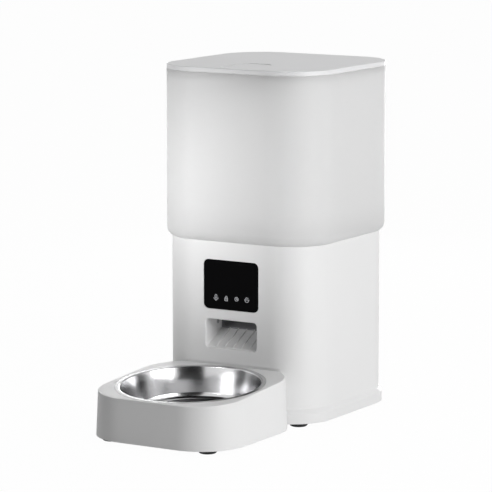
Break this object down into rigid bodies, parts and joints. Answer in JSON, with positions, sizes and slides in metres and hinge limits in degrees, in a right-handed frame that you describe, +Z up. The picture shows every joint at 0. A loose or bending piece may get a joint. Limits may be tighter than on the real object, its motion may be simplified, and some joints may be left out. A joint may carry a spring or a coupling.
{
  "type": "automatic pet feeder",
  "caption": "Free-standing pet feeder with a frosted food tank, a geared paddle wheel, a feed outlet under a touch panel, and a front tray with a lift-out steel bowl.",
  "frame": {"origin": "on the floor, under the middle of the whole object's box", "axes": "+Z up, +X to the right as seen from the front, -Y towards the bowl and the front"},
  "size_m": [0.182, 0.333, 0.3485],
  "materials": {
    "white_abs": "fine satin",
    "frosted_shell": "frosted translucent",
    "lid_white": "fine satin",
    "black_gloss": "mirror gloss",
    "grey_plastic": "satin",
    "natural_nylon": "satin",
    "polished_stainless": "polished",
    "steel": "brushed",
    "spring_brass": "stamped",
    "black_rubber": "matte",
    "clear_silicone": "matte",
    "board_green": "solder mask",
    "component_black": "moulded",
    "digit_module": "gloss",
    "ferrite": "ground",
    "copper_winding": "enamelled",
    "lead_red": "insulation",
    "lead_black": "insulation",
    "ribbon_white": "film",
    "speaker_frame": "painted"
  },
  "bodies": {
    "base": {"base_housing": "white_abs", "bottom_cover": "white_abs", "bottom_screws": "steel", "base_feet": "black_rubber", "display_lens": "black_gloss", "display_board": "board_green", "display_digits": "digit_module", "touch_pads": "spring_brass", "microphone": "steel", "outlet_ramp": "white_abs", "blockage_sensors": "grey_plastic", "drop_chute": "white_abs", "dispenser_cup": "grey_plastic", "cup_screws": "steel", "portion_baffle": "clear_silicone", "shaft_bush": "spring_brass", "shaft_seal": "black_rubber", "gearbox_housing": "component_black", "gearbox_cover": "component_black", "gearbox_screws": "steel", "idler_pins": "steel", "motor_can": "steel", "motor_magnets": "ferrite", "motor_end_cap": "component_black", "motor_terminals": "spring_brass", "main_board": "board_green", "board_components": "component_black", "board_screws": "steel", "speaker": "speaker_frame", "power_board": "board_green", "power_socket": "steel", "battery_box": "white_abs", "battery_contacts": "spring_brass", "motor_leads": "lead_red", "battery_cable": "lead_black", "speaker_cable": "lead_black", "power_cable": "lead_red", "display_ribbon": "ribbon_white"},
    "tray": {"bowl_tray": "white_abs", "tray_feet": "black_rubber"},
    "bowl": {"steel_bowl": "polished_stainless"},
    "tank": {"hopper_tank": "frosted_shell"},
    "lid": {"lid": "lid_white", "lid_seal": "clear_silicone"},
    "desiccant": {"desiccant_cap": "white_abs"},
    "rotor": {"rotor_wheel": "clear_silicone", "agitator": "grey_plastic", "rotor_nut": "grey_plastic", "drive_shaft": "steel", "output_gear": "natural_nylon"},
    "second_idler": {"second_idler_gear": "natural_nylon"},
    "first_idler": {"first_idler_gear": "natural_nylon"},
    "motor_rotor": {"motor_shaft": "steel", "motor_armature": "copper_winding", "motor_pinion": "spring_brass"},
    "battery_door": {"battery_door": "white_abs"}
  },
  "joints": [
    {"name": "tank_lift", "type": "slide", "parent": "base", "child": "tank", "axis": [0, 0, 1], "range_m": [0, 0.08]},
    {"name": "lid_lift", "type": "slide", "parent": "tank", "child": "lid", "axis": [0, 0, 1], "range_m": [0, 0.06]},
    {"name": "desiccant_twist", "type": "hinge", "parent": "lid", "child": "desiccant", "pos_m": [0.016, 0.0215, 0.328], "axis": [0, 0, 1], "range_deg": [-40, 0]},
    {"name": "tray_pull", "type": "slide", "parent": "base", "child": "tray", "axis": [0, -1, 0], "range_m": [0, 0.05]},
    {"name": "bowl_lift", "type": "slide", "parent": "tray", "child": "bowl", "axis": [0, -0.0645, 0.9979], "range_m": [0, 0.06]},
    {"name": "rotor_spin", "type": "hinge", "parent": "base", "child": "rotor", "pos_m": [0, 0.0735, 0.113], "axis": [0, 0, 1], "continuous": true},
    {"name": "second_idler_spin", "type": "hinge", "parent": "base", "child": "second_idler", "pos_m": [0, 0.0951, 0.098], "axis": [0, 0, 1], "continuous": true},
    {"name": "first_idler_spin", "type": "hinge", "parent": "base", "child": "first_idler", "pos_m": [0, 0.1167, 0.098], "axis": [0, 0, 1], "continuous": true},
    {"name": "motor_spin", "type": "hinge", "parent": "base", "child": "motor_rotor", "pos_m": [0, 0.1383, 0.075], "axis": [0, 0, 1], "continuous": true},
    {"name": "battery_door_drop", "type": "slide", "parent": "base", "child": "battery_door", "axis": [0, 0, -1], "range_m": [0, 0.03]}
  ],
  "couplings": [
    {"joint": "second_idler_spin", "follows": "rotor_spin", "ratio": -3.5},
    {"joint": "first_idler_spin", "follows": "rotor_spin", "ratio": 12.25},
    {"joint": "motor_spin", "follows": "rotor_spin", "ratio": -42.875}
  ]
}
